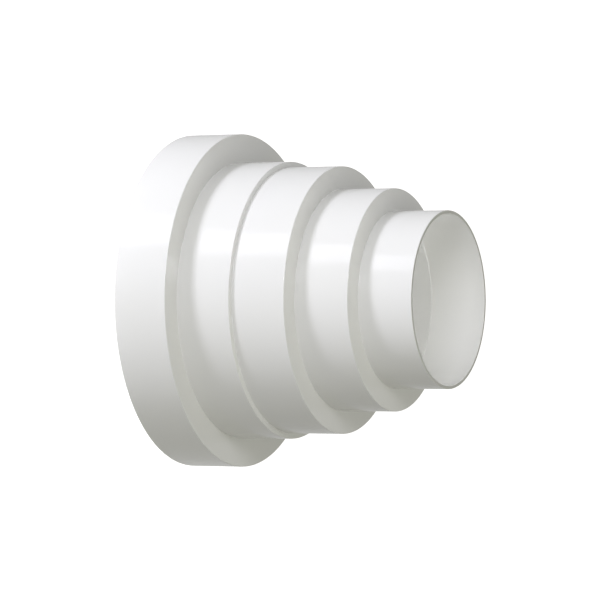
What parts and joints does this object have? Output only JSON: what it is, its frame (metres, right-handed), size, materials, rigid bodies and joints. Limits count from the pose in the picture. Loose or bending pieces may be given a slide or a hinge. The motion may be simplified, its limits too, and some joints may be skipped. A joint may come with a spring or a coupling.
{
  "type": "duct reducer",
  "caption": "White moulded plastic reducer for round ventilation ducts: a thin-walled tube that narrows in straight collars with shoulders between them, to join ducts of different diameters.",
  "frame": {"origin": "centre of the large rim, on the plane that the part stands on", "axes": "+Z along the duct axis, from the large end to the small end"},
  "size_m": [0.15, 0.15, 0.1264],
  "materials": {
    "white_plastic": "smooth moulded, glossy"
  },
  "bodies": {
    "root": {"reducer_body": "white_plastic"}
  },
  "joints": []
}
